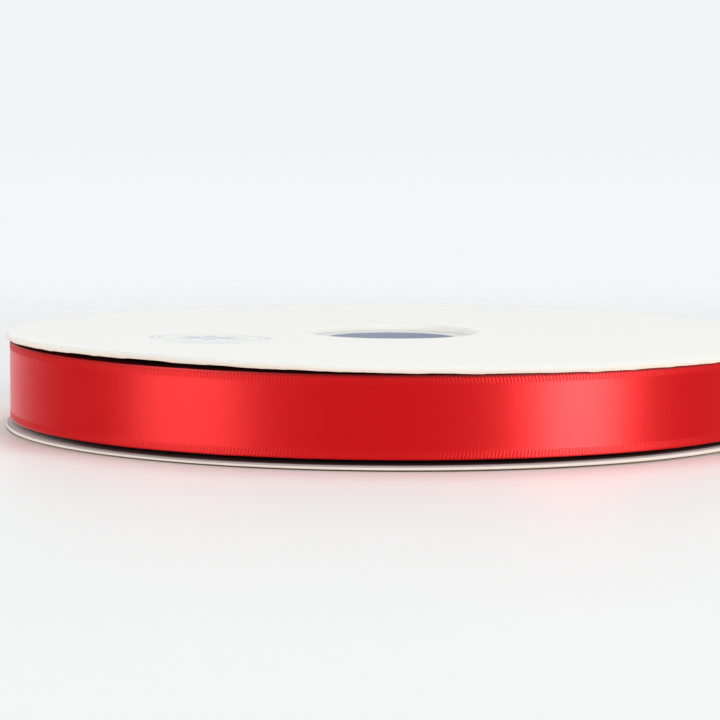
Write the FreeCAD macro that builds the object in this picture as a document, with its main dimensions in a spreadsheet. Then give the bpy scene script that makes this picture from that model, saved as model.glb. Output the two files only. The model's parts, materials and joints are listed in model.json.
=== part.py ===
# Ribbon spool: a full reel of 16 mm satin ribbon between two card flanges.
# Units are millimetres. The spool lies flat on its lower flange, the winding axis is +Z,
# and the origin is the centre of the face that it rests on.

import FreeCAD
import Part
import Sketcher
import os

doc = FreeCAD.newDocument("RibbonSpool")

# ---- driving dimensions ---------------------------------------------------------------

sheet = doc.addObject("Spreadsheet::Sheet", "Sizes")

sizes = {
    # card flanges and the printed paper pasted on their outer faces
    "flange_radius": 82.0,
    "flange_hole_radius": 18.4,
    "board_thickness": 1.0,
    "paper_thickness": 0.15,
    "paper_inset": 0.3,
    # moulded hub, made in two halves that push together at mid height
    "bore_radius": 13.5,
    "bore_wall": 1.6,
    "hub_radius": 30.0,
    "hub_wall": 1.6,
    "hub_plate": 1.2,
    "rib_thickness": 1.2,
    "rib_count": 6,
    "spigot_length": 3.0,
    "spigot_wall": 1.1,
    "spigot_clearance": 0.1,
    "spigot_root": 1.6,
    # ribbon
    "ribbon_width": 16.0,
    "ribbon_thickness": 0.25,
    "play_below": 0.95,
    "play_above": 0.25,
    "flange_overhang": 0.4,
    "lay_gap": 0.3,
    "wind_clearance": 0.15,
    # free end of the ribbon: angles are measured about the winding axis from +X
    "tail_root_angle": 110.0,
    "tail_length": 60.0,
    "tail_gap": 0.1,
    # clear tape on the free end, and paper tape under the first turn
    "tape_thickness": 0.06,
    "tape_width": 12.0,
    "tape_grip": 12.0,
    "tape_reach": 12.0,
    "start_tape_length": 18.0,
    "start_tape_angle": 40.0,
}

for row, (alias, value) in enumerate(sizes.items(), start=1):
    sheet.set(f"A{row}", alias)
    sheet.set(f"B{row}", str(value))
    sheet.setAlias(f"B{row}", alias)
doc.recompute()

# ---- places worked out from the driving dimensions -------------------------------------
# Each is an expression on the sheet, so that every feature that uses it stays tied to it.


def cell(alias):
    return f"Sizes.{alias}"


# heights, from the resting face upwards
resting_face = "0"
board_low = cell("paper_thickness")
hub_low = f"({board_low} + {cell('board_thickness')})"
hub_length = f"({cell('play_below')} + {cell('ribbon_width')} + {cell('play_above')})"
half_length = f"({hub_length} / 2)"
hub_top = f"({hub_low} + {hub_length})"
paper_low = f"({hub_top} + {cell('board_thickness')})"
ribbon_low = f"({hub_low} + {cell('play_below')})"
tape_low = f"({ribbon_low} + ({cell('ribbon_width')} - {cell('tape_width')}) / 2)"
start_tape_low = tape_low

# radii of the winding
turn_step = f"({cell('ribbon_thickness')} + {cell('lay_gap')})"
last_radius = f"({cell('flange_radius')} - {cell('flange_overhang')})"
tail_radius = f"({last_radius} - {cell('ribbon_thickness')})"
roll_radius = f"({tail_radius} - {turn_step})"
roll_bore = f"({cell('hub_radius')} + {cell('wind_clearance')})"

# radii of the hub
hub_inside = f"({cell('hub_radius')} - {cell('hub_wall')})"
bore_outside = f"({cell('bore_radius')} + {cell('bore_wall')})"
spigot_outside = f"({hub_inside} - {cell('spigot_clearance')})"
spigot_inside = f"({spigot_outside} - {cell('spigot_wall')})"
rib_height = f"({half_length} - {cell('spigot_length')} - {cell('spigot_root')})"

# angles of the free end, counted from the root of the tail
radian = "(180 / pi)"
tail_start = f"({cell('tail_gap')} / {tail_radius} * {radian})"
tail_sweep = f"({cell('tail_length')} / {tail_radius} * {radian})"
tape_start = f"({tail_start} + {tail_sweep} - {cell('tape_grip')} / {last_radius} * {radian})"
tape_sweep = f"(({cell('tape_grip')} + {cell('tape_reach')}) / {last_radius} * {radian})"
start_tape_sweep = f"({cell('start_tape_length')} / {cell('hub_radius')} * {radian})"


def number(expression):
    """Value of an expression on the sheet, as a plain number."""
    value = sheet.evalExpression(expression)
    return float(getattr(value, "Value", value))


# ---- building blocks --------------------------------------------------------------------


def new_body(label):
    body = doc.addObject("PartDesign::Body", label)
    body.Label = label
    return body


def origin_plane(body, role):
    return next(item for item in body.Origin.OriginFeatures if item.Role == role)


def new_sketch(body, name, role):
    sketch = body.newObject("Sketcher::SketchObject", name)
    sketch.AttachmentSupport = [(origin_plane(body, role), "")]
    sketch.MapMode = "FlatFace"
    return sketch


def add_circle(sketch, radius):
    """Circle on the sketch's origin whose radius is an expression."""
    circle = Part.Circle(FreeCAD.Vector(0, 0, 0), FreeCAD.Vector(0, 0, 1), number(radius))
    edge = sketch.addGeometry(circle, False)
    sketch.addConstraint(Sketcher.Constraint("Coincident", edge, 3, -1, 1))
    sketch.addConstraint(Sketcher.Constraint("Radius", edge, number(radius)))
    sketch.setExpression(f"Constraints[{sketch.ConstraintCount - 1}]", radius)


def add_outline(sketch, corners):
    """Closed outline of straight lines; each corner is a pair of expressions."""
    points = [FreeCAD.Vector(number(across), number(up), 0) for across, up in corners]
    count = len(points)
    for index in range(count):
        line = Part.LineSegment(points[index], points[(index + 1) % count])
        sketch.addGeometry(line, False)
    for index in range(count):
        sketch.addConstraint(
            Sketcher.Constraint("Coincident", index, 2, (index + 1) % count, 1))
    for index, corner in enumerate(corners):
        for kind, expression in zip(("DistanceX", "DistanceY"), corner):
            value = number(expression)
            if abs(value) < 1e-9:
                # a corner on an axis of the sketch is held there
                axis = -2 if kind == "DistanceX" else -1
                sketch.addConstraint(
                    Sketcher.Constraint("PointOnObject", index, 1, axis))
                continue
            sketch.addConstraint(
                Sketcher.Constraint(kind, -1, 1, index, 1, value))
            sketch.setExpression(
                f"Constraints[{sketch.ConstraintCount - 1}]", expression)


def add_revolution(body, name, sketch, angle):
    revolution = body.newObject("PartDesign::Revolution", name)
    revolution.Profile = sketch
    revolution.ReferenceAxis = (sketch, ["V_Axis"])
    revolution.setExpression("Angle", angle)
    return revolution


def lift(item, height):
    item.setExpression("Placement.Base.z", height)


def turn(item, angle):
    """Turns a body about the winding axis by an angle that stays tied to the sheet."""
    item.Placement = FreeCAD.Placement(
        item.Placement.Base, FreeCAD.Rotation(FreeCAD.Vector(0, 0, 1), number(angle)))
    item.setExpression("Placement.Rotation.Angle", angle)


def disc_with_hole(label, radius, hole_radius, thickness, height):
    """Flat ring padded upwards from the given height."""
    body = new_body(label)
    sketch = new_sketch(body, f"{label}_outline", "XY_Plane")
    add_circle(sketch, radius)
    add_circle(sketch, hole_radius)
    pad = body.newObject("PartDesign::Pad", f"{label}_pad")
    pad.Profile = sketch
    pad.setExpression("Length", thickness)
    lift(body, height)
    return body


def curved_strip(label, inner_radius, thickness, low, width, start, sweep):
    """Strip bent round the winding axis, from one angle through another."""
    body = new_body(label)
    outer_radius = f"({inner_radius} + {thickness})"
    sketch = new_sketch(body, f"{label}_section", "XZ_Plane")
    add_outline(sketch, [
        (inner_radius, "0"),
        (outer_radius, "0"),
        (outer_radius, width),
        (inner_radius, width),
    ])
    add_revolution(body, f"{label}_bend", sketch, sweep)
    turn(body, start)
    lift(body, low)
    return body


# ---- flanges ----------------------------------------------------------------------------

paper_radius = f"({cell('flange_radius')} - {cell('paper_inset')})"
paper_hole = f"({cell('flange_hole_radius')} + {cell('paper_inset')})"


def make_flange(side, board_height, paper_height):
    board = disc_with_hole(
        f"{side}_flange_board", cell("flange_radius"), cell("flange_hole_radius"),
        cell("board_thickness"), board_height)
    paper = disc_with_hole(
        f"{side}_face_paper", paper_radius, paper_hole,
        cell("paper_thickness"), paper_height)
    return [board, paper]


# ---- hub --------------------------------------------------------------------------------


def make_hub_half(label, with_spigot):
    """End plate, outer wall, bore wall and radial ribs, drawn with the end plate at z = 0."""
    body = new_body(label)
    plate = cell("hub_plate")
    corners = [
        (cell("bore_radius"), "0"),
        (cell("hub_radius"), "0"),
        (cell("hub_radius"), half_length),
    ]
    if with_spigot:
        spigot_top = f"({half_length} + {cell('spigot_length')})"
        spigot_low = f"({half_length} - {cell('spigot_root')})"
        corners += [
            (spigot_outside, half_length),
            (spigot_outside, spigot_top),
            (spigot_inside, spigot_top),
            (spigot_inside, spigot_low),
            (hub_inside, spigot_low),
        ]
    else:
        corners += [(hub_inside, half_length)]
    corners += [
        (hub_inside, plate),
        (bore_outside, plate),
        (bore_outside, half_length),
        (cell("bore_radius"), half_length),
    ]
    section = new_sketch(body, f"{label}_section", "XZ_Plane")
    add_outline(section, corners)
    add_revolution(body, f"{label}_shell", section, "360")

    # one rib from the bore wall to the outer wall, let half way into each
    rib_inner = f"({bore_outside} - {cell('bore_wall')} / 2)"
    rib_outer = f"({hub_inside} + {cell('hub_wall')} / 2)"
    rib_side = f"({cell('rib_thickness')} / 2)"
    rib_sketch = new_sketch(body, f"{label}_rib_outline", "XY_Plane")
    add_outline(rib_sketch, [
        (rib_inner, f"(0 - {rib_side})"),
        (rib_outer, f"(0 - {rib_side})"),
        (rib_outer, rib_side),
        (rib_inner, rib_side),
    ])
    rib_sketch.setExpression("AttachmentOffset.Base.z", f"({plate} / 2)")
    rib = body.newObject("PartDesign::Pad", f"{label}_rib")
    rib.Profile = rib_sketch
    rib.setExpression("Length", f"({rib_height} - {plate} / 2)")

    ribs = body.newObject("PartDesign::PolarPattern", f"{label}_ribs")
    ribs.Originals = [rib]
    ribs.Axis = (rib_sketch, ["N_Axis"])
    ribs.Angle = 360
    ribs.setExpression("Occurrences", cell("rib_count"))
    body.Tip = ribs
    return body


def make_hub():
    lower = make_hub_half("hub_lower_half", with_spigot=False)
    lift(lower, hub_low)
    upper = make_hub_half("hub_upper_half", with_spigot=True)
    upper.Placement = FreeCAD.Placement(
        FreeCAD.Vector(0, 0, 0), FreeCAD.Rotation(FreeCAD.Vector(1, 0, 0), 180))
    lift(upper, hub_top)
    return [lower, upper]


# ---- ribbon -----------------------------------------------------------------------------


def make_outer_turn():
    """Last full turn, a two-centre spiral that climbs by one step over the turn before it."""
    label = "ribbon_outer_turn"
    body = new_body(label)
    shift = f"({turn_step} / 2)"
    thickness = cell("ribbon_thickness")

    first = new_sketch(body, f"{label}_first_section", "XZ_Plane")
    add_outline(first, [
        (roll_radius, "0"),
        (f"({roll_radius} + {thickness})", "0"),
        (f"({roll_radius} + {thickness})", cell("ribbon_width")),
        (roll_radius, cell("ribbon_width")),
    ])
    add_revolution(body, f"{label}_first_half", first, "180")

    near = f"(0 - {roll_radius} - {shift})"
    far = f"({near} - {thickness})"
    second = new_sketch(body, f"{label}_second_section", "XZ_Plane")
    second.setExpression("AttachmentOffset.Base.x", shift)
    add_outline(second, [
        (far, "0"),
        (near, "0"),
        (near, cell("ribbon_width")),
        (far, cell("ribbon_width")),
    ])
    add_revolution(body, f"{label}_second_half", second, "180")
    turn(body, cell("tail_root_angle"))
    lift(body, ribbon_low)
    return body


def make_ribbon():
    roll = disc_with_hole(
        "ribbon_roll", roll_radius, roll_bore, cell("ribbon_width"), ribbon_low)
    start_tape = curved_strip(
        "ribbon_start_tape", cell("hub_radius"), cell("tape_thickness"), start_tape_low,
        cell("tape_width"), cell("start_tape_angle"), start_tape_sweep)
    return [roll, make_outer_turn(), start_tape]


def make_tail():
    """Free end of the ribbon and the clear tape that holds it; they lift off together."""
    root = cell("tail_root_angle")
    tail = curved_strip(
        "ribbon_tail", tail_radius, cell("ribbon_thickness"), ribbon_low,
        cell("ribbon_width"), f"({root} + {tail_start})", tail_sweep)
    tape = curved_strip(
        "tail_end_tape", last_radius, cell("tape_thickness"), tape_low,
        cell("tape_width"), f"({root} + {tape_start})", tape_sweep)
    return [tail, tape]


# ---- build, check and write -------------------------------------------------------------

pieces = []
pieces += make_flange("lower", board_low, resting_face)
pieces += make_flange("upper", hub_top, paper_low)
pieces += make_hub()
pieces += make_ribbon()
pieces += make_tail()
doc.recompute()

for item in doc.Objects:
    faults = [state for state in item.State if state in ("Invalid", "Error")]
    if faults:
        raise RuntimeError(f"{item.Label}: {faults}")

os.makedirs("parts", exist_ok=True)
for piece in pieces:
    shape = piece.Shape
    if shape.isNull() or not shape.isValid() or len(shape.Solids) != 1:
        raise RuntimeError(f"{piece.Label}: not one valid solid")
    shape.exportStep(f"parts/{piece.Label}.step")
    box = shape.BoundBox
    print(f"{piece.Label}: z {box.ZMin:.3f} to {box.ZMax:.3f}, "
          f"across {box.XLength:.3f} x {box.YLength:.3f}, volume {shape.Volume:.1f}")

# the tail turns about the outer corner of the last turn's end
root_turn = FreeCAD.Rotation(FreeCAD.Vector(0, 0, 1), number(cell("tail_root_angle")))
hinge = root_turn.multVec(FreeCAD.Vector(number(last_radius), 0, 0))
print(f"tail hinge at x {hinge.x:.4f}, y {hinge.y:.4f}")
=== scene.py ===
import json
import math

import bmesh
import bpy
from mathutils import Matrix, Vector


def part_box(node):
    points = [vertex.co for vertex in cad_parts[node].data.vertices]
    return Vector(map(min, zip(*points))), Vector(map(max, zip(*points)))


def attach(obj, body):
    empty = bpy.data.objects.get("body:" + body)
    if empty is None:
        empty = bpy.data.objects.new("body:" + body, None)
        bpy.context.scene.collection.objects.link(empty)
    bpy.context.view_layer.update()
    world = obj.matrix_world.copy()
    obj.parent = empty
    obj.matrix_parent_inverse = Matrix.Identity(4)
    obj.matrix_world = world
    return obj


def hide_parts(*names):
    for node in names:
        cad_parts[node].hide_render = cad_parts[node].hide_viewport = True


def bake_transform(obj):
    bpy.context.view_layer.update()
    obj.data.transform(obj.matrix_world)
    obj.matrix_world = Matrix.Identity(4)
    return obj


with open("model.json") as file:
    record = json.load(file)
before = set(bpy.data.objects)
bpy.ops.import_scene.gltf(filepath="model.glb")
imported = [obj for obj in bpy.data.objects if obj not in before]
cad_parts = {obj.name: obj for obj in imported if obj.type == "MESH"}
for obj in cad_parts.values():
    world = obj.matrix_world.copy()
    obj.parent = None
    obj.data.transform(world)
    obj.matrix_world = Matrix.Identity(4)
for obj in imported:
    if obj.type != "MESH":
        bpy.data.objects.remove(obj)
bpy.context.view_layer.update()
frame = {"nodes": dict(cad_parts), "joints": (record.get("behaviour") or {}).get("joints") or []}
mm = 0.001
turn = 2 * math.pi


# a socket that can stand in a sum: each operator adds its Math node
class Wire:
    def __init__(self, graph, socket):
        self.graph = graph
        self.socket = socket

    def math(self, operation, *others, flip=False):
        terms = [*others, self] if flip else [self, *others]
        return self.graph.add("ShaderNodeMath", {"operation": operation}, dict(enumerate(terms)))[0]

    def __add__(self, other):
        return self.math("ADD", other)

    def __radd__(self, other):
        return self.math("ADD", other, flip=True)

    def __sub__(self, other):
        return self.math("SUBTRACT", other)

    def __rsub__(self, other):
        return self.math("SUBTRACT", other, flip=True)

    def __mul__(self, other):
        return self.math("MULTIPLY", other)

    def __truediv__(self, other):
        return self.math("DIVIDE", other)

    def __pow__(self, other):
        return self.math("POWER", other)

    def sin(self):
        return self.math("SINE")

    def cos(self):
        return self.math("COSINE")

    def abs(self):
        return self.math("ABSOLUTE")

    def floor(self):
        return self.math("FLOOR")

    def least(self, other):
        return self.math("MINIMUM", other)

    def most(self, other):
        return self.math("MAXIMUM", other)

    def above(self, other):
        return self.math("GREATER_THAN", other)

    def below(self, other):
        return self.math("LESS_THAN", other)

    # 0 to 1 as the value passes from low to high
    def ramp(self, low, high, shape="SMOOTHSTEP"):
        return self.graph.add(
            "ShaderNodeMapRange",
            {"interpolation_type": shape, "clamp": True},
            {"Value": self, "From Min": low, "From Max": high},
        )["Result"]

    # a soft bar, 1 at the centre and 0 from the given reach outwards
    def bar(self, centre, reach):
        return (self - centre).abs().ramp(reach, 0.0)


# the outputs of one node, picked by name or number
class Made:
    def __init__(self, graph, node):
        self.graph = graph
        self.node = node

    def __getitem__(self, key):
        return Wire(self.graph, self.node.outputs[key])


# a node tree being built, for a material or for geometry
class Graph:
    def __init__(self, tree):
        self.tree = tree

    def add(self, kind, settings=None, values=None):
        node = self.tree.nodes.new(kind)
        for name, value in (settings or {}).items():
            setattr(node, name, value)
        for key, value in (values or {}).items():
            self.feed(node.inputs[key], value)
        return Made(self, node)

    def feed(self, socket, value):
        if isinstance(value, Wire):
            self.tree.links.new(value.socket, socket)
        else:
            socket.default_value = value

    def vector(self, x=0.0, y=0.0, z=0.0):
        return self.add("ShaderNodeCombineXYZ", {}, {"X": x, "Y": y, "Z": z})[0]

    def split(self, vector):
        parts = self.add("ShaderNodeSeparateXYZ", {}, {"Vector": vector})
        return parts["X"], parts["Y"], parts["Z"]

    def noise(self, vector, scale, detail=2.0, rough=0.5):
        return self.add(
            "ShaderNodeTexNoise", {},
            {"Vector": vector, "Scale": scale, "Detail": detail, "Roughness": rough},
        )[0]

    def mixColour(self, factor, first, second):
        colours = [value if isinstance(value, Wire) else (*value, 1.0) for value in (first, second)]
        return self.add(
            "ShaderNodeMix", {"data_type": "RGBA"}, {0: factor, 6: colours[0], 7: colours[1]})[2]


# frame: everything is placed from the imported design

def radii(node):
    reach = [math.hypot(v.co.x, v.co.y) for v in frame["nodes"][node].data.vertices]
    return min(reach), max(reach)


def heights(node):
    low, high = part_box(node)
    return low.z, high.z


holeRadius, flangeRadius = radii("upper_flange_board")
rollBore, rollRadius = radii("ribbon_roll")
boreRadius, _ = radii("hub_upper_half")
ribbonLow, ribbonHigh = heights("ribbon_roll")
ribbonWidth = ribbonHigh - ribbonLow
tailRadius, lastRadius = radii("ribbon_tail")
ribbonThickness = lastRadius - tailRadius
tailJoint = next(joint for joint in frame["joints"] if joint["name"] == "tail_lift")
rootX, rootY, rootZ = tailJoint["pos_m"]
rootAngle = math.atan2(rootY, rootX)
tailPoints = frame["nodes"]["ribbon_tail"].data.vertices
tailAngles = [(math.atan2(v.co.y, v.co.x) - rootAngle) % turn for v in tailPoints]
tailSweep = max(angle for angle in tailAngles if angle < math.pi)
print("frame read: flange radius", round(flangeRadius, 4), "ribbon width", round(ribbonWidth, 4))


# geometry trees

socketKinds = {float: "NodeSocketFloat", int: "NodeSocketInt", bpy.types.Material: "NodeSocketMaterial"}


# a new tree whose inputs are named for the given values
def newTree(name, values):
    tree = bpy.data.node_groups.new(name, "GeometryNodeTree")
    tree.interface.new_socket("Geometry", in_out="OUTPUT", socket_type="NodeSocketGeometry")
    for label, value in values.items():
        kind = socketKinds[type(value)]
        tree.interface.new_socket(label, in_out="INPUT", socket_type=kind)
    return tree


# ends a tree: realised, smooth, with its material
def closeTree(graph, geometry, material):
    realised = graph.add("GeometryNodeRealizeInstances", {}, {"Geometry": geometry})["Geometry"]
    smooth = graph.add("GeometryNodeSetShadeSmooth", {}, {"Geometry": realised})["Geometry"]
    dressed = graph.add(
        "GeometryNodeSetMaterial", {}, {"Geometry": smooth, "Material": material})["Geometry"]
    graph.add("NodeGroupOutput", {}, {0: dressed})


# runs a tree with its values and keeps the result as a plain mesh
def growPiece(name, tree, values):
    piece = bpy.data.objects.new(name, bpy.data.meshes.new(name))
    bpy.context.scene.collection.objects.link(piece)
    modifier = piece.modifiers.new("grow", "NODES")
    modifier.node_group = tree
    for item in tree.interface.items_tree:
        if item.in_out == "INPUT":
            modifier[item.identifier] = values[item.name]
    bpy.context.view_layer.update()
    depsgraph = bpy.context.evaluated_depsgraph_get()
    mesh = bpy.data.meshes.new_from_object(piece.evaluated_get(depsgraph), depsgraph=depsgraph)
    piece.modifiers.clear()
    piece.data = mesh
    mesh.name = name
    print(name, "has", len(mesh.polygons), "faces")
    return piece


# a grid, with each point's share of the way along it and the number of its row
def countedGrid(graph, columns, rows):
    grid = graph.add(
        "GeometryNodeMeshGrid", {},
        {"Size X": 1.0, "Size Y": 1.0, "Vertices X": columns, "Vertices Y": rows})["Mesh"]
    place = graph.add("GeometryNodeInputPosition")["Position"]
    x, y, _ = graph.split(place)
    return grid, x + 0.5, (y + 0.5) * (rows - 1.0)


def keepAttribute(graph, geometry, name, vector):
    return graph.add(
        "GeometryNodeStoreNamedAttribute", {"data_type": "FLOAT_VECTOR", "domain": "POINT"},
        {"Geometry": geometry, "Name": name, "Value": vector})["Geometry"]


weldDistance = 2e-6


# moves the grid to its shape and welds the seam
def shapeTo(graph, geometry, x, y, z):
    moved = graph.add(
        "GeometryNodeSetPosition", {},
        {"Geometry": geometry, "Position": graph.vector(x, y, z)})["Geometry"]
    return graph.add(
        "GeometryNodeMergeByDistance", {}, {"Geometry": moved, "Distance": weldDistance})["Geometry"]


# ribbon: a strip bent round the reel, with ribbed selvedges; its top edge creeps up near one angle
ribbonMake = {
    "Selvedge Width": 1.75 * mm,
    "Plain Edge": 0.3 * mm,
    "Rib Pitch": 0.72 * mm,
    "Rib Height": 0.034 * mm,
    "Rib Lean": -0.3,
    "Lean Wander": 0.3 * mm,
    "Edge Wander": 0.07 * mm,
    "Face Wander": 0.05 * mm,
    "Creep": 0.24 * mm,
    "Creep Angle": 203.0,
    "Creep Reach": 45.0,
}


def ribbonTree(sample):
    tree = newTree("ribbonStrip", sample)
    graph = Graph(tree)
    given = graph.add("NodeGroupInput")
    faceRows = 16.0
    selvedgeRows = 6.0
    selvedgeCrowding = 1.3
    faceCrowding = 5.0
    ribSharpness = 1.7
    ribEase = 0.35 * mm
    cornerDrop = 0.3
    grid, along01, row = countedGrid(graph, given["Columns"], given["Rows"])

    # rows count in from both edges: six over the selvedge, one just past it, one at mid width
    rowIn = row.least(faceRows - row).most(0.0)
    overSelvedge = (rowIn / selvedgeRows).least(1.0) ** selvedgeCrowding * given["Selvedge Width"]
    pastSelvedge = ((rowIn - selvedgeRows) / (faceRows / 2 - selvedgeRows)).most(0.0)
    overFace = pastSelvedge ** faceCrowding
    edge = overSelvedge + overFace * (given["Width"] / 2 - given["Selvedge Width"])
    upperHalf = row.above(faceRows / 2 + 0.5) * row.below(faceRows + 0.5)
    isTopBack = row.bar(faceRows + 1.0, 0.5).above(0.5)
    isLowBack = row.bar(faceRows + 2.0, 0.5).above(0.5)
    isBack = isTopBack.most(isLowBack)
    face = row.below(faceRows + 0.5)
    across = (upperHalf * (given["Width"] - edge * 2.0) + edge) * face + isTopBack * given["Width"]
    across01 = across / given["Width"]

    cut01 = along01 * (1.0 - across01 * given["End Slant"] / given["Length"])
    along = cut01 * given["Length"]
    angle = given["Start Angle"] + cut01 * given["Sweep"]
    spot = graph.vector(angle.cos(), angle.sin(), 0.0)
    lean = edge * given["Rib Lean"] + (graph.noise(spot, 14.0, 2.0) - 0.5) * given["Lean Wander"]
    ribTop = (((along + lean) * turn / given["Rib Pitch"]).sin() * 0.5 + 0.5) ** ribSharpness
    inSelvedge = edge.ramp(given["Plain Edge"] * 0.5, given["Plain Edge"] * 1.5) * edge.ramp(
        given["Selvedge Width"], given["Selvedge Width"] - ribEase)
    roundOff = (1.0 - (edge / (given["Thickness"] * 0.5)).least(1.0)) ** 2.0
    relief = ribTop * inSelvedge * given["Rib Height"] - roundOff * given["Thickness"] * cornerDrop
    relief = relief * (1.0 - isBack)

    swell = graph.noise(graph.vector(angle.cos(), angle.sin(), across * 3.0), 3.1) - 0.5
    wander = graph.noise(spot, 7.0, 3.0) - 0.5
    base = given["Start Radius"] + (given["End Radius"] - given["Start Radius"]) * cut01
    radius = base + relief + swell * given["Face Wander"] - isBack * given["Thickness"]
    creep = (angle * (360 / turn)).bar(given["Creep Angle"], given["Creep Reach"]) * given["Creep"]
    height = given["Low"] + across + wander * given["Edge Wander"] * 2.0 + creep * across01

    kept = keepAttribute(graph, grid, "strip", graph.vector(along + lean, across, isBack))
    bent = shapeTo(graph, kept, radius * angle.cos(), radius * angle.sin(), height)
    closeTree(graph, bent, given["Material"])
    return tree


# card discs: eased rims, and a gentle lift that grows towards the rim; angles are in degrees
# tip leans the disc, saddle bends it, and swell and crush raise or flatten one stretch of its rim
levelDisc = {
    "Lift": 0.0, "Tip": 0.0, "Tip Angle": 0.0, "Saddle": 0.0, "Saddle Angle": 0.0,
    "Least Lift": 0.0, "Hole Raise": 0.0, "Swell": 0.0, "Swell Angle": 0.0, "Swell Reach": 30.0,
    "Crush": 0.0, "Crush Angle": 0.0, "Crush Reach": 85.0,
}
discLift = {
    "lifted": {**levelDisc, "Lift": 0.20 * mm, "Tip": 0.39 * mm, "Tip Angle": 181.0,
               "Saddle": 0.29 * mm, "Saddle Angle": 224.0, "Least Lift": -0.24 * mm,
               "Hole Raise": 0.2 * mm, "Swell": 0.36 * mm, "Swell Angle": 235.0,
               "Swell Reach": 32.0},
    "crushed": {**levelDisc, "Crush": 0.38 * mm, "Crush Angle": 243.0},
    "level": levelDisc,
}
discMake = {
    "Rim Wander": 0.09 * mm,
    "Flat Radius": 25.0 * mm,
    "Lift Power": 1.35,
    "Columns": 481,
}


def discTree(sample):
    tree = newTree("cardDisc", sample)
    graph = Graph(tree)
    given = graph.add("NodeGroupInput")
    faceRows = 18.0
    edgeRows = 5.0
    wanderReach = 3.0 * mm
    burrReach = 1.5 * mm
    crushReach = 4.0 * mm
    crushEnd = 0.6 * mm
    grid, round01, row = countedGrid(
        graph, given["Columns"], int(2 * faceRows + 2 * edgeRows + 1))

    # the section is walked once: top face, outer edge, bottom face, edge of the hole
    onTop = (row / faceRows).least(1.0)
    onRim = ((row - faceRows) / edgeRows).ramp(0.0, 1.0, "LINEAR")
    onBottom = ((row - faceRows - edgeRows) / faceRows).ramp(0.0, 1.0, "LINEAR")
    onHole = ((row - 2 * faceRows - edgeRows) / edgeRows).ramp(0.0, 1.0, "LINEAR")
    facing = turn / 4 - (onRim + onHole) * (turn / 2)
    isUpper = facing.sin().above(0.0)
    side = isUpper * 2.0 - 1.0
    rounding = given["Low Rounding"] + (given["Top Rounding"] - given["Low Rounding"]) * isUpper
    innerEnd = given["Hole Radius"] + rounding
    outerEnd = given["Outer Radius"] - rounding
    flatRadius = innerEnd + (outerEnd - innerEnd) * (onTop - onBottom)
    half = given["Thickness"] * 0.5

    angle = round01 * turn
    spot = graph.vector(angle.cos(), angle.sin(), 0.0)
    atRim = flatRadius.ramp(given["Outer Radius"] - wanderReach, given["Outer Radius"])
    wander = (graph.noise(spot, 9.0, 4.0, 0.6) - 0.5) * given["Rim Wander"] * atRim * 2.0
    radius = flatRadius + facing.cos() * rounding + wander
    level = half + side * (half - rounding) + facing.sin() * rounding
    burr = graph.noise(spot, 13.0, 3.0, 0.55).ramp(0.42, 0.68) * given["Burr"]
    atCut = flatRadius.ramp(given["Outer Radius"] - burrReach, outerEnd)

    tip = (angle - given["Tip Angle"] * (turn / 360)).cos() * given["Tip"]
    saddle = ((angle - given["Saddle Angle"] * (turn / 360)) * 2.0).cos() * given["Saddle"]
    degrees = angle * (360 / turn)
    swell = degrees.bar(given["Swell Angle"], given["Swell Reach"]) * given["Swell"]
    crushed = degrees.bar(given["Crush Angle"], given["Crush Reach"]) * given["Crush"]
    nearRim = flatRadius.ramp(given["Outer Radius"] - crushReach, given["Outer Radius"] - crushEnd)
    standing = 1.0 - crushed * nearRim / given["Thickness"]
    lift = (given["Lift"] + tip + saddle).most(given["Least Lift"]) + swell
    outward = radius.ramp(given["Flat Radius"], given["Outer Radius"], "LINEAR") ** given["Lift Power"]
    rooted = 1.0 - given["Hole Foot"] * (1.0 - level / given["Thickness"])
    raised = given["Hole Raise"] * radius.ramp(given["Flat Radius"], given["Hole Radius"]) * rooted
    height = given["Low"] + level * standing + lift * outward + raised
    height = height - burr * atCut * (1.0 - isUpper)

    kept = keepAttribute(
        graph, grid, "ply", graph.vector(radius, angle, level / given["Thickness"]))
    bent = shapeTo(graph, kept, radius * angle.cos(), radius * angle.sin(), height)
    closeTree(graph, bent, given["Material"])
    return tree


# wound ribbon: the edges of the outer turns show one by one, the rest closes up inside
windMake = {
    "Turn Pitch": 0.25 * mm,
    "Turns Shown": 18.0,
    "Uneven": 0.16 * mm,
    "Groove": 0.09 * mm,
    "Columns": 217,
}


def windTree(sample):
    tree = newTree("woundTurns", sample)
    graph = Graph(tree)
    given = graph.add("NodeGroupInput")
    halfRows = 92.0
    innerRows = 18.0
    turnShift = 3.7
    sideShift = 50.0
    grid, round01, row = countedGrid(graph, given["Columns"], int(2 * halfRows + 2))

    # rows run outwards over the bottom, back inwards over the top, and close on the bore
    isTop = row.above(halfRows + 0.5) * row.below(2 * halfRows + 0.5)
    step = (row * (1.0 - isTop) + (2 * halfRows + 1.0 - row) * isTop) * row.below(2 * halfRows + 0.5)
    shownDepth = given["Turn Pitch"] * given["Turns Shown"]
    middle = given["Outer Radius"] - shownDepth
    inside = (step / innerRows).least(1.0)
    outside = ((step - innerRows) / (halfRows - innerRows)).ramp(0.0, 1.0, "LINEAR")
    radius = given["Inner Radius"] + (middle - given["Inner Radius"]) * inside + shownDepth * outside
    turnCount = outside * given["Turns Shown"]
    groove = ((turnCount * turn).cos() * 0.5 + 0.5) * given["Groove"] * outside.above(0.0)

    angle = round01 * turn
    drift = graph.vector(angle.cos(), angle.sin(), turnCount.floor() * turnShift + isTop * sideShift)
    uneven = graph.noise(drift, 1.3, 1.0) * given["Uneven"]
    side = isTop * 2.0 - 1.0
    edge = given["Low"] * (1.0 - isTop) + given["High"] * isTop
    height = edge - side * (groove + uneven)
    kept = keepAttribute(graph, grid, "turns", graph.vector(turnCount, angle, isTop))
    bent = shapeTo(graph, kept, radius * angle.cos(), radius * angle.sin(), height)
    closeTree(graph, bent, given["Material"])
    return tree


# materials

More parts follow.
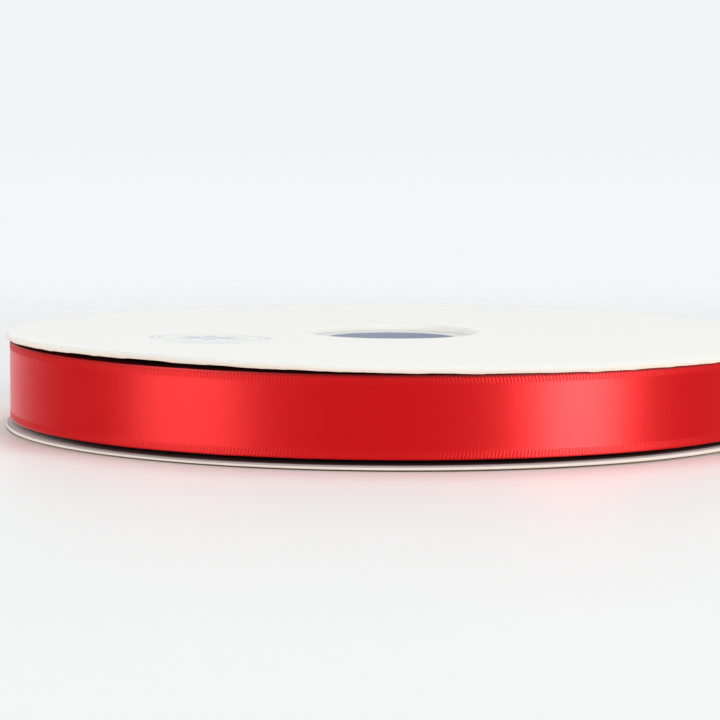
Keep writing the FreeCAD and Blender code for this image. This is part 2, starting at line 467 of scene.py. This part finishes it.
def newMaterial(name):
    material = bpy.data.materials.new(name)
    material.use_nodes = True
    material.node_tree.nodes.clear()
    return material, Graph(material.node_tree)


def surface(graph, values, normal=None):
    inputs = dict(values)
    if normal is not None:
        inputs["Normal"] = normal
    shader = graph.add("ShaderNodeBsdfPrincipled", {}, inputs)["BSDF"]
    graph.add("ShaderNodeOutputMaterial", {}, {"Surface": shader})


def bump(graph, height, strength, distance):
    return graph.add(
        "ShaderNodeBump", {}, {"Height": height, "Strength": strength, "Distance": distance})["Normal"]


def stored(graph, name):
    made = graph.add("ShaderNodeAttribute", {"attribute_type": "GEOMETRY", "attribute_name": name})
    return graph.split(made["Vector"])


def objectPlace(graph):
    return graph.add("ShaderNodeTexCoord")["Object"]


# the grains are noise scales along and across the ribbon
satin = {
    "colour": (0.80, 0.002, 0.004),
    "deepColour": (0.56, 0.001, 0.002),
    "threadColour": (0.88, 0.004, 0.006),
    "shadeColour": (0.12, 0.001, 0.001),
    "roughness": 0.40,
    "selvedgeRoughness": 0.35,
    "gapRoughness": 0.42,
    "threadSize": 0.11 * mm,
    "weftSpread": 1.7,
    "weftSlant": 0.35,
    "floatGrain": (60.0, 2600.0),
    "cloudGrain": (40.0, 90.0),
    "topShade": 0.9 * mm,
    "shadeLeft": -45.0 * mm,
    "shadeRight": -5.0 * mm,
    "metallic": 0.36,
    "anisotropic": 0.7,
    "threadBump": 0.18,
    "threadDepth": 0.02 * mm,
}


def satinMaterial():
    material, graph = newMaterial("redSatin")
    along, across, isBack = stored(graph, "strip")
    edge = across.least(ribbonWidth - across)
    width = ribbonMake["Selvedge Width"]
    inSelvedge = edge.ramp(width, width - 0.3 * mm)
    ribTop = (along * (turn / ribbonMake["Rib Pitch"])).sin() * 0.5 + 0.5
    ribbed = inSelvedge * edge.ramp(ribbonMake["Plain Edge"] * 0.5, ribbonMake["Plain Edge"] * 1.5)

    # long warp floats lie along the ribbon, so the mottling is stretched that way
    floatAlong, floatAcross = satin["floatGrain"]
    cloudAlong, cloudAcross = satin["cloudGrain"]
    stretched = graph.vector(along * floatAlong, across * floatAcross, isBack)
    floats = graph.noise(stretched, 1.0, 3.0, 0.6)
    cloudy = graph.noise(graph.vector(along * cloudAlong, across * cloudAcross, isBack), 1.0, 2.0)
    threads = (across * (turn / satin["threadSize"])).sin() * 0.5 + 0.5
    weftSize = satin["threadSize"] * satin["weftSpread"]
    weft = ((along + across * satin["weftSlant"]) * (turn / weftSize)).sin() * 0.5 + 0.5

    base = graph.mixColour(floats.ramp(0.35, 0.75) * 0.12, satin["colour"], satin["threadColour"])
    gap = (1.0 - ribTop) * ribbed
    # darker between the ribs: partly the selvedge's own weave, partly painted shade in the hollows
    # between them
    base = graph.mixColour(gap * 0.4, base, satin["deepColour"])
    base = graph.mixColour(
        (1.0 - edge.ramp(0.0, ribbonMake["Plain Edge"])) * 0.5, base, satin["deepColour"])

    # painted shade along the top edge, where the flange overhangs it; least where the flange lifts away
    # on the left
    x, _, _ = graph.split(objectPlace(graph))
    towardsRight = x.ramp(satin["shadeLeft"], satin["shadeRight"])
    paintedTopShade = (towardsRight * 0.5 + 0.38) * (ribbonWidth - across).ramp(satin["topShade"], 0.0)
    base = graph.mixColour(paintedTopShade, base, satin["shadeColour"])
    roughness = satin["roughness"] + (cloudy - 0.5) * 0.04 + inSelvedge * (
        satin["selvedgeRoughness"] - satin["roughness"]) + gap * satin["gapRoughness"] + paintedTopShade * 0.4
    relief = (threads * 0.45 + weft * 0.25 + floats * 0.3) * (1.0 - inSelvedge * 0.5)
    values = {
        "Base Color": base,
        "Roughness": roughness,
        "IOR": 1.5,
        "Specular IOR Level": 0.5,
        "Metallic": satin["metallic"],
        "Anisotropic": satin["anisotropic"],
        "Anisotropic Rotation": 0.25,
    }
    surface(graph, values, bump(graph, relief, satin["threadBump"], satin["threadDepth"]))
    return material


windLook = {
    "edgeColour": (0.20, 0.002, 0.003),
    "grooveColour": (0.06, 0.001, 0.001),
    "lintColour": (0.30, 0.004, 0.005),
    "lintGrain": 2400.0,
    "roughness": 0.6,
    "lintBump": 0.4,
    "lintDepth": 0.03 * mm,
}


def woundMaterial():
    material, graph = newMaterial("woundSatin")
    turnCount, _, _ = stored(graph, "turns")
    fine = graph.noise(objectPlace(graph), windLook["lintGrain"], 3.0)
    # the turn edges are coloured far darker than the satin: painted shade for the deep gap under the
    # flanges, darkest in the grooves between turns
    between = (turnCount * turn).cos() * 0.5 + 0.5
    base = graph.mixColour(between * 0.7, windLook["edgeColour"], windLook["grooveColour"])
    base = graph.mixColour(fine.ramp(0.4, 0.8) * 0.3, base, windLook["lintColour"])
    surface(
        graph, {"Base Color": base, "Roughness": windLook["roughness"] + fine * 0.15},
        bump(graph, fine, windLook["lintBump"], windLook["lintDepth"]))
    return material


card = {
    "whiteEdge": (0.86, 0.86, 0.83),
    "creamEdge": (0.88, 0.76, 0.65),
    "plyColour": (0.80, 0.70, 0.59),
    "kraftColour": (0.16, 0.105, 0.055),
    "trimColour": (0.62, 0.51, 0.42),
    "linerColour": (0.24, 0.21, 0.22),
    "linerInner": (0.17, 0.085, 0.075),
    "linerEdge": (0.46, 0.40, 0.39),
    "linerLight": (0.66, 0.59, 0.59),
    "holeEdge": (0.86, 0.855, 0.82),
    "paperColour": (0.86, 0.86, 0.83),
    "paperMottle": (0.80, 0.80, 0.81),
    "printColour": (0.60, 0.635, 0.71),
    "fibreGrain": 1500.0,
    "speckGrain": 5200.0,
    "mottleGrain": 70.0,
    "paperGrain": 1900.0,
    "boardRoughness": 0.82,
    "paperRoughness": 0.7,
    "stainStart": -80.0 * mm,
    "stainEnd": -54.0 * mm,
    "trimCentre": -4.0 * mm,
    "trimReach": 72.0 * mm,
    "trimCore": 22.0 * mm,
}

# levels run from 0 at the underside to 1 on top; one past either end leaves that ply out
boardPlies = {
    # the upper board's underside is a dark grey: painted shade for the gap under the top flange
    "upper": {"kraftTop": -0.2, "linerLow": 1.2, "liner": card["linerColour"]},
    "lower": {"kraftTop": 0.2, "linerLow": 0.6, "liner": card["linerLight"]},
}


# the cut edge shows the plies: a white one and a cream core, and below also kraft and a grey liner; on
# the lower board the kraft foot and the grey top are darkened with painted shade
def boardMaterial(name, plyMake):
    kraftTop, linerLow = plyMake["kraftTop"], plyMake["linerLow"]
    material, graph = newMaterial(name)
    radius, _, level = stored(graph, "ply")
    place = objectPlace(graph)
    x, y, z = graph.split(place)
    fibre = graph.noise(graph.vector(x, y, z * 6.0), card["fibreGrain"], 4.0, 0.65)
    speck = graph.noise(place, card["speckGrain"], 2.0)
    plies = ((level * 5.0 + fibre * 0.6) * turn).sin() * 0.5 + 0.5
    atOuterCut = radius.ramp(flangeRadius - 0.75 * mm, flangeRadius - 0.35 * mm)
    atHole = radius.below(holeRadius + 0.5 * mm)
    edge = graph.mixColour(level.ramp(0.9, 0.15), card["whiteEdge"], card["creamEdge"])
    edge = graph.mixColour(plies * 0.25, edge, card["plyColour"])
    # a kraft ply at the foot, made darker as painted contact shade
    atKraft = level.ramp(kraftTop + fibre * 0.08, kraftTop - 0.08)
    edge = graph.mixColour(atKraft, edge, card["kraftColour"])
    # the top of the lower edge is greyed: partly a grey liner ply, partly painted shade under the
    # ribbon
    edge = graph.mixColour(level.ramp(linerLow, linerLow + 0.4), edge, card["linerEdge"])
    face = graph.mixColour(speck.ramp(0.55, 0.8) * 0.2, plyMake["liner"], card["plyColour"])
    # painted shade on the liner in the dark gap under the ribbon, less of it at the far left
    underRibbon = radius.ramp(rollRadius + 0.4 * mm, rollRadius - 0.8 * mm)
    paintedGapShade = underRibbon * x.ramp(card["stainStart"], card["stainEnd"])
    face = graph.mixColour(paintedGapShade, face, card["linerInner"])
    base = graph.mixColour(atOuterCut, face, edge)
    base = graph.mixColour(atHole, base, card["holeEdge"])
    relief = fibre * 0.7 + plies * 0.3 * atOuterCut.most(atHole)
    values = {
        "Base Color": base,
        "Roughness": card["boardRoughness"] + fibre * 0.1,
        "Specular IOR Level": 0.25,
    }
    surface(graph, values, bump(graph, relief, 0.35, 0.06 * mm))
    return material


# a plain oval badge with a petal rosette, and three short rules under it
printMark = {
    "centre": (-0.46, -0.23),
    "ovalWidth": 0.15,
    "ovalHeight": 0.105,
    "petals": 8,
    "petalEdge": 0.5,
    "petalDepth": 0.16,
    "ruleLength": 0.11,
    "ruleCount": 3,
    "firstRule": -1.35,
    "rulePitch": 0.26,
    "strength": 0.85,
}


def printMask(x, y):
    acrossMark = x / flangeRadius - printMark["centre"][0]
    upMark = y / flangeRadius - printMark["centre"][1]
    wide = acrossMark / printMark["ovalWidth"]
    tall = upMark / printMark["ovalHeight"]
    distance = (wide * wide + tall * tall) ** 0.5
    bearing = tall.math("ARCTAN2", wide)
    petal = (bearing * printMark["petals"]).cos() * printMark["petalDepth"] + printMark["petalEdge"]
    rings = distance.bar(1.0, 0.07).most(distance.bar(0.86, 0.035))
    rosette = distance.ramp(petal + 0.03, petal) * distance.ramp(0.14, 0.18)
    mark = rings.most(rosette).most(distance.ramp(0.1, 0.07))
    for line in range(printMark["ruleCount"]):
        level = printMark["firstRule"] - printMark["rulePitch"] * line
        length = printMark["ruleLength"] * (1.0 - 0.22 * line)
        rule = tall.bar(level, 0.075).above(0.35) * acrossMark.abs().below(length)
        mark = mark.most(rule)
    return mark


def paperMaterial(name, printed):
    material, graph = newMaterial(name)
    radius, _, _ = stored(graph, "ply")
    place = objectPlace(graph)
    x, y, _ = graph.split(place)
    mottle = graph.noise(place, card["mottleGrain"], 3.0)
    grain = graph.noise(place, card["paperGrain"], 3.0, 0.6)
    base = graph.mixColour(mottle * 0.12, card["paperColour"], card["paperMottle"])
    if printed:
        worn = radius.ramp(flangeRadius - 1.3 * mm, flangeRadius) * grain.ramp(0.45, 0.7)
        ink = printMask(x, y) * printMark["strength"] * (1.0 - grain.ramp(0.5, 0.9) * 0.4)
        base = graph.mixColour(ink, base, card["printColour"])
        base = graph.mixColour(worn * 0.3, base, card["creamEdge"])
    else:
        # the trimmed edge is darkened towards kraft, most at the front and the back: partly the kraft
        # core, partly painted contact shade along the rim's foot
        darkFoot = (x - card["trimCentre"]).abs().ramp(card["trimReach"], card["trimCore"])
        trimmed = graph.mixColour(darkFoot, card["trimColour"], card["kraftColour"])
        atTrim = radius.ramp(flangeRadius - 1.0 * mm, flangeRadius - 0.5 * mm)
        base = graph.mixColour(atTrim, base, trimmed)
    values = {
        "Base Color": base,
        "Roughness": card["paperRoughness"] + grain * 0.12,
        "Specular IOR Level": 0.08,
    }
    surface(graph, values, bump(graph, grain * 0.6 + mottle * 0.4, 0.18, 0.04 * mm))
    return material


hubPlastic = {
    "cream": (0.70, 0.71, 0.68),
    "creamFlow": (0.64, 0.65, 0.62),
    "cool": (0.37, 0.41, 0.51),
    "coolFlow": (0.32, 0.36, 0.45),
    "sparkGrain": 2600.0,
    "roughness": 0.52,
}


# cream outside; the bore wall is a darker blue-grey, painted shade for the shaded inside of the bore
def hubMaterial():
    material, graph = newMaterial("hubPlastic")
    place = objectPlace(graph)
    x, y, z = graph.split(place)
    radius = (x * x + y * y) ** 0.5
    flow = graph.noise(graph.vector(x * 20.0, y * 20.0, z * 4.0), 3.0, 2.0)
    spark = graph.noise(place, hubPlastic["sparkGrain"], 2.0)
    inBore = radius.ramp(boreRadius + 0.7 * mm, boreRadius + 0.1 * mm)
    cream = graph.mixColour(flow * 0.3, hubPlastic["cream"], hubPlastic["creamFlow"])
    cool = graph.mixColour(flow * 0.3, hubPlastic["cool"], hubPlastic["coolFlow"])
    base = graph.mixColour(inBore, cream, cool)
    values = {
        "Base Color": base,
        "Roughness": hubPlastic["roughness"] + spark * 0.16,
        "Specular IOR Level": 0.25,
    }
    surface(graph, values, bump(graph, spark * 0.7 + flow * 0.3, 0.2, 0.03 * mm))
    return material


clearFilm = {
    "colour": (0.93, 0.93, 0.90),
    "smearColour": (0.85, 0.86, 0.86),
    "roughness": 0.16,
    "alpha": 0.06,
    "smearAlpha": 0.04,
    "coat": 0.3,
}


def tapeMaterial():
    material, graph = newMaterial("clearTape")
    place = objectPlace(graph)
    smear = graph.noise(place, 90.0, 2.0)
    fine = graph.noise(place, 3000.0, 2.0)
    base = graph.mixColour(smear * 0.4, clearFilm["colour"], clearFilm["smearColour"])
    values = {
        "Base Color": base,
        "Roughness": clearFilm["roughness"] + smear * 0.08,
        "Alpha": clearFilm["alpha"] + smear.ramp(0.4, 0.8) * clearFilm["smearAlpha"],
        "Coat Weight": clearFilm["coat"],
    }
    surface(graph, values, bump(graph, smear * 0.8 + fine * 0.2, 0.05, 0.02 * mm))
    return material


crepePaper = {"colour": (0.80, 0.72, 0.50), "foldColour": (0.70, 0.61, 0.40), "grain": 2200.0}


def paperTapeMaterial():
    material, graph = newMaterial("paperTape")
    place = objectPlace(graph)
    x, y, z = graph.split(place)
    stretched = graph.vector(x, y, z * 0.25)
    crepe = graph.noise(stretched, crepePaper["grain"], 3.0).ramp(0.3, 0.7)
    base = graph.mixColour(crepe * 0.4, crepePaper["colour"], crepePaper["foldColour"])
    values = {"Base Color": base, "Roughness": 0.8 + crepe * 0.1}
    surface(graph, values, bump(graph, crepe, 0.4, 0.04 * mm))
    return material


satinLook = satinMaterial()
woundLook = woundMaterial()
upperBoardLook = boardMaterial("upperBoardCard", boardPlies["upper"])
lowerBoardLook = boardMaterial("lowerBoardCard", boardPlies["lower"])
upperPaperLook = paperMaterial("upperPaperPrinted", True)
lowerPaperLook = paperMaterial("lowerPaperPlain", False)
hubLook = hubMaterial()
tapeLook = tapeMaterial()
paperTapeLook = paperTapeMaterial()
print("materials made")


# closes any open rim of a mesh and points its faces outwards
def closeShell(piece):
    shell = bmesh.new()
    shell.from_mesh(piece.data)
    openEdges = [edge for edge in shell.edges if edge.is_boundary]
    if openEdges:
        bmesh.ops.holes_fill(shell, edges=openEdges, sides=0)
    bmesh.ops.recalc_face_normals(shell, faces=shell.faces)
    shell.to_mesh(piece.data)
    shell.free()


endAngle = 60.0


# the cut ends of a strip stay crisp, so that two strips can meet without a shaded seam
def crispEnds(piece):
    piece.data.set_sharp_from_angle(angle=math.radians(endAngle))


# ribbon pieces

turnLength = turn * (rollRadius + lastRadius) / 2
columnsPerRib = 7


def ribbonValues(startAngle, sweep, length, startRadius, endRadius, rows, slant):
    ribs = length / ribbonMake["Rib Pitch"]
    return {
        **ribbonMake,
        "Start Angle": startAngle,
        "Sweep": sweep,
        "Length": length,
        "Start Radius": startRadius,
        "End Radius": endRadius,
        "Low": ribbonLow,
        "Width": ribbonWidth,
        "Thickness": ribbonThickness,
        "End Slant": slant,
        "Columns": int(round(ribs * columnsPerRib)) + 1,
        "Rows": rows,
        "Material": satinLook,
    }


closedRows = 20
openRows = 17
turnValues = ribbonValues(
    rootAngle, turn, turnLength, rollRadius + ribbonThickness, lastRadius, closedRows, 0.0)
stripTree = ribbonTree(turnValues)
outerTurn = growPiece("outerTurn", stripTree, turnValues)
closeShell(outerTurn)
crispEnds(outerTurn)
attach(outerTurn, "spool")
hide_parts("ribbon_outer_turn")

tailMake = {"rootGap": 0.012 * mm, "slant": 2.2 * mm, "bendLength": 14.0 * mm}
tailGap = tailMake["rootGap"] / lastRadius
tailLength = (tailSweep - tailGap) * lastRadius
tailValues = ribbonValues(
    rootAngle + tailGap, tailSweep - tailGap, tailLength, lastRadius, lastRadius, openRows,
    tailMake["slant"])
ribbonEnd = growPiece("ribbonEnd", stripTree, tailValues)
thicken = ribbonEnd.modifiers.new("thickness", "SOLIDIFY")
thicken.thickness = ribbonThickness
thicken.offset = -1.0


def pointAt(radius, angle, height):
    return Vector((radius * math.cos(angle), radius * math.sin(angle), height))


bendSweep = tailMake["bendLength"] / lastRadius
pointAt(lastRadius, rootAngle, rootZ)
pointAt(lastRadius, rootAngle + bendSweep, rootZ)
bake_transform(ribbonEnd)
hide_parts("ribbon_tail")

windValues = {
    **windMake,
    "Inner Radius": rollBore,
    "Outer Radius": rollRadius,
    "Low": ribbonLow,
    "High": ribbonHigh,
    "Material": woundLook,
}
woundRibbon = growPiece("woundRibbon", windTree(windValues), windValues)
closeShell(woundRibbon)
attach(woundRibbon, "spool")
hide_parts("ribbon_roll")

print("ribbon made")


# card pieces

def discValues(form, node, roundings, burr, foot, look):
    hole, outer = radii(node)
    low, high = heights(node)
    return {
        **discMake,
        **discLift[form],
        "Hole Radius": hole,
        "Outer Radius": outer,
        "Low": low,
        "Thickness": high - low,
        "Top Rounding": roundings[0],
        "Low Rounding": roundings[1],
        "Burr": burr,
        "Hole Foot": foot,
        "Material": look,
    }


cardTree = None
boardEdges = {"upper": (0.2 * mm, 0.08 * mm), "lower": (0.46 * mm, 0.13 * mm)}
paperEdges = (0.05 * mm, 0.03 * mm)
cutBurr = 0.16 * mm
cardPieces = [
    ("upperBoard", "lifted", "upper_flange_board", boardEdges["upper"], cutBurr, 1.0,
     upperBoardLook, "board"),
    ("upperPaper", "lifted", "upper_face_paper", paperEdges, 0.0, 0.0, upperPaperLook, "face_paper"),
    ("lowerBoard", "crushed", "lower_flange_board", boardEdges["lower"], 0.0, 0.0,
     lowerBoardLook, "board"),
    ("lowerPaper", "level", "lower_face_paper", paperEdges, 0.0, 0.0, lowerPaperLook, "face_paper"),
]
for name, form, node, roundings, burr, foot, look, slotName in cardPieces:
    values = discValues(form, node, roundings, burr, foot, look)
    cardTree = cardTree or discTree(values)
    disc = growPiece(name, cardTree, values)
    closeShell(disc)
    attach(disc, "spool")
    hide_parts(node)
print("flanges made")


# hub halves: the moulding, with its corners eased

hubMake = {"cornerRadius": 0.3 * mm, "cornerSteps": 2, "cornerAngle": 50.0, "smoothAngle": 35.0}


def softenedNode(name, node, look):
    mesh = frame["nodes"][node].data.copy()
    piece = bpy.data.objects.new(name, mesh)
    bpy.context.scene.collection.objects.link(piece)
    shell = bmesh.new()
    shell.from_mesh(mesh)
    bmesh.ops.remove_doubles(shell, verts=shell.verts, dist=1e-6)
    bmesh.ops.dissolve_limit(
        shell, angle_limit=math.radians(1.0), verts=shell.verts, edges=shell.edges)
    corners = [
        edge for edge in shell.edges
        if len(edge.link_faces) == 2
        and edge.calc_face_angle(0.0) > math.radians(hubMake["cornerAngle"])
    ]
    bmesh.ops.bevel(
        shell, geom=corners, offset=hubMake["cornerRadius"], segments=hubMake["cornerSteps"],
        affect="EDGES", profile=0.5, clamp_overlap=True)
    bmesh.ops.recalc_face_normals(shell, faces=shell.faces)
    shell.to_mesh(mesh)
    shell.free()
    mesh.materials.clear()
    mesh.materials.append(look)
    mesh.shade_smooth()
    mesh.set_sharp_from_angle(angle=math.radians(hubMake["smoothAngle"]))
    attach(piece, "spool")
    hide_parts(node)


softenedNode("hubLower", "hub_lower_half", hubLook)
softenedNode("hubUpper", "hub_upper_half", hubLook)
startTape = frame["nodes"]["ribbon_start_tape"]
startTape.data.materials.clear()
startTape.data.materials.append(paperTapeLook)
print("hub made")


# clear tape: grips the ribbon's end and steps down on to the turn below, with torn ends

tapeMake = {
    "thickness": 0.05 * mm,
    "lift": 0.085 * mm,
    "toothPitch": 1.1 * mm,
    "toothDepth": 0.45 * mm,
    "stepLength": 1.4 * mm,
    "columns": 90,
    "rows": 66,
}


def endTape():
    tapePoints = frame["nodes"]["tail_end_tape"].data.vertices
    angles = [(math.atan2(v.co.y, v.co.x) - rootAngle) % turn for v in tapePoints]
    startTurn, endTurn = min(angles), max(angles)
    low, high = heights("tail_end_tape")
    climb = lastRadius - rollRadius - ribbonThickness
    columns, rows = tapeMake["columns"], tapeMake["rows"]
    mesh = bpy.data.meshes.new("endTape")
    shell = bmesh.new()
    grid = []
    for column in range(columns + 1):
        line = []
        for row in range(rows + 1):
            height = low + (high - low) * row / rows
            tooth = abs((height / tapeMake["toothPitch"]) % 1.0 - 0.5) * 2.0
            nibble = tooth * tapeMake["toothDepth"] / lastRadius
            share = column / columns
            along = startTurn + nibble + (endTurn - startTurn - 2 * nibble) * share
            cutHere = tailSweep - tailMake["slant"] / lastRadius * (
                (height - ribbonLow) / ribbonWidth)
            below = rollRadius + ribbonThickness + climb * along / turn
            down = min(max((along - cutHere) * lastRadius / tapeMake["stepLength"], 0.0), 1.0)
            eased = down * down * (3.0 - 2.0 * down)
            radius = lastRadius + (below - lastRadius) * eased + tapeMake["lift"]
            line.append(shell.verts.new(pointAt(radius, rootAngle + along, height)))
        grid.append(line)
    for column in range(columns):
        for row in range(rows):
            corner = grid[column]
            following = grid[column + 1]
            shell.faces.new((corner[row], following[row], following[row + 1], corner[row + 1]))
    bmesh.ops.recalc_face_normals(shell, faces=shell.faces)
    shell.to_mesh(mesh)
    shell.free()
    piece = bpy.data.objects.new("endTape", mesh)
    bpy.context.scene.collection.objects.link(piece)
    mesh.materials.append(tapeLook)
    mesh.shade_smooth()
    film = piece.modifiers.new("thickness", "SOLIDIFY")
    film.thickness = tapeMake["thickness"]
    film.offset = 0.0
    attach(piece, "tail")
    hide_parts("tail_end_tape")


endTape()
print("tape made")


# floor, surroundings, lights and camera

floorMake = {
    "radius": 3.4,
    "fadeStart": 0.14,
    "fadeEnd": 0.5,
    "drop": 0.02 * mm,
    "colour": (0.825, 0.835, 0.83),
    "corners": 96,
    "footReach": 3.2 * mm,
    "footShade": 0.28,
    "footColour": (0.30, 0.31, 0.26),
}


# a wide disc whose far part dissolves into the pale surroundings
def layFloor():
    mesh = bpy.data.meshes.new("floor")
    level = -floorMake["drop"]
    corners = floorMake["corners"]
    points = [pointAt(floorMake["radius"], turn * k / corners, level) for k in range(corners)]
    mesh.from_pydata(points, [], [list(range(corners))])
    floor = bpy.data.objects.new("floor", mesh)
    bpy.context.scene.collection.objects.link(floor)
    floor.visible_glossy = False
    material, graph = newMaterial("floorPaper")
    x, y, _ = graph.split(objectPlace(graph))
    away = (x * x + y * y) ** 0.5
    # painted contact shadow on the floor round the flange's foot
    nearFoot = away.ramp(flangeRadius + floorMake["footReach"], flangeRadius)
    paintedFootShadow = nearFoot * floorMake["footShade"]
    colour = graph.mixColour(paintedFootShadow, floorMake["colour"], floorMake["footColour"])
    fade = away.ramp(floorMake["fadeEnd"], floorMake["fadeStart"])
    values = {"Base Color": colour, "Roughness": 0.5, "Specular IOR Level": 0.35, "Alpha": fade}
    surface(graph, values)
    mesh.materials.append(material)


layFloor()

# dim in front, bright behind and overhead; what the camera sees beyond the floor is one pale tone
roomLight = {
    "colour": (0.96, 0.985, 1.0),
    "front": 0.12,
    "back": 1.2,
    "backNarrow": 4.0,
    "overhead": 0.6,
    "seen": (0.871, 0.905, 0.913),
    "seenLow": (0.905, 0.920, 0.930),
}


def lightRoom():
    world = bpy.data.worlds.new("room")
    bpy.context.scene.world = world
    world.use_nodes = True
    world.node_tree.nodes.clear()
    graph = Graph(world.node_tree)
    _, y, z = graph.split(graph.add("ShaderNodeTexCoord")["Generated"])
    behind = y.most(0.0) ** roomLight["backNarrow"]
    level = behind * (roomLight["back"] - roomLight["front"]) + roomLight["front"]
    level = level.most(z.ramp(0.3, 1.0) * roomLight["overhead"])
    lit = graph.add(
        "ShaderNodeBackground", {}, {"Color": (*roomLight["colour"], 1.0), "Strength": level})[0]
    tone = graph.mixColour(z.ramp(0.03, -0.05), roomLight["seen"], roomLight["seenLow"])
    seen = graph.add("ShaderNodeBackground", {}, {"Color": tone})[0]
    looking = graph.add("ShaderNodeLightPath")["Is Camera Ray"]
    mixed = graph.add("ShaderNodeMixShader", {}, {0: looking, 1: lit, 2: seen})[0]
    graph.add("ShaderNodeOutputWorld", {}, {"Surface": mixed})


lightRoom()

softBoxes = {
    "rightBox": {"bearing": 54, "elevation": 20, "distance": 1.3, "size": (0.55, 0.9), "power": 11.5,
                 "colour": (1.0, 0.99, 0.98), "soft": True},
    "leftBox": {"bearing": -60, "elevation": 20, "distance": 1.3, "size": (0.8, 0.9), "power": 9.5,
                "colour": (1.0, 0.99, 0.98), "soft": True},
    "rightStrip": {"bearing": 55, "elevation": 20, "distance": 1.25, "size": (0.5, 0.9), "power": 16.5,
                   "colour": (1.0, 1.0, 1.0), "soft": False},
    "leftStrip": {"bearing": -60, "elevation": 20, "distance": 1.25, "size": (0.7, 0.9), "power": 2.8,
                  "colour": (1.0, 1.0, 1.0), "soft": False},
    "topBox": {"bearing": 180, "elevation": 68, "distance": 1.6, "size": (1.6, 1.2), "power": 9.5,
               "colour": (1.0, 1.0, 1.0), "soft": True},
}


# the strips only draw the sheen down the satin
sheenTakers = bpy.data.collections.new("sheenTakers")
for piece in (outerTurn, ribbonEnd, woundRibbon):
    sheenTakers.objects.link(piece)


# bearings are counted from the front, towards +X
def softBox(name, make):
    bearing = math.radians(make["bearing"])
    rise = math.radians(make["elevation"])
    aim = Vector((0.0, 0.0, (ribbonLow + ribbonHigh) / 2))
    outward = Vector((
        math.sin(bearing) * math.cos(rise), -math.cos(bearing) * math.cos(rise), math.sin(rise)))
    light = bpy.data.lights.new(name, "AREA")
    light.shape = "RECTANGLE"
    light.size, light.size_y = make["size"]
    light.energy = make["power"]
    light.color = make["colour"]
    lamp = bpy.data.objects.new(name, light)
    lamp.location = aim + outward * make["distance"]
    lamp.rotation_euler = outward.to_track_quat("Z", "Y").to_euler()
    lamp.visible_camera = False
    if not make["soft"]:
        lamp.visible_diffuse = False
        lamp.light_linking.receiver_collection = sheenTakers
    bpy.context.scene.collection.objects.link(lamp)


for name, make in softBoxes.items():
    softBox(name, make)

# distance is in flange radii from the centre of the resting face; angles in degrees
cameraMake = {"distance": 7.599, "elevation": 6.430, "turn": 0.618, "tip": 1.234, "roll": -0.327,
              "lens": 145.0}


def placeCamera():
    rise = math.radians(cameraMake["elevation"])
    place = Vector((0.0, -math.cos(rise), math.sin(rise))) * cameraMake["distance"] * flangeRadius
    forward = -place.normalized()
    right = Vector((1.0, 0.0, 0.0))
    up = right.cross(forward)
    swing = Matrix.Rotation(math.radians(cameraMake["turn"]), 3, up)
    forward, right = swing @ forward, swing @ right
    tip = Matrix.Rotation(math.radians(cameraMake["tip"]), 3, right)
    forward, up = tip @ forward, tip @ up
    roll = Matrix.Rotation(math.radians(cameraMake["roll"]), 3, forward)
    right, up = roll @ right, roll @ up
    view = bpy.data.cameras.new("view")
    view.lens = cameraMake["lens"]
    view.sensor_width = 36.0
    view.clip_start = 0.01
    camera = bpy.data.objects.new("view", view)
    axes = Matrix((right, up, -forward)).transposed().to_4x4()
    camera.matrix_world = Matrix.Translation(place) @ axes
    bpy.context.scene.collection.objects.link(camera)
    bpy.context.scene.camera = camera


placeCamera()
bpy.context.scene.view_settings.view_transform = "Standard"
print("stage made")
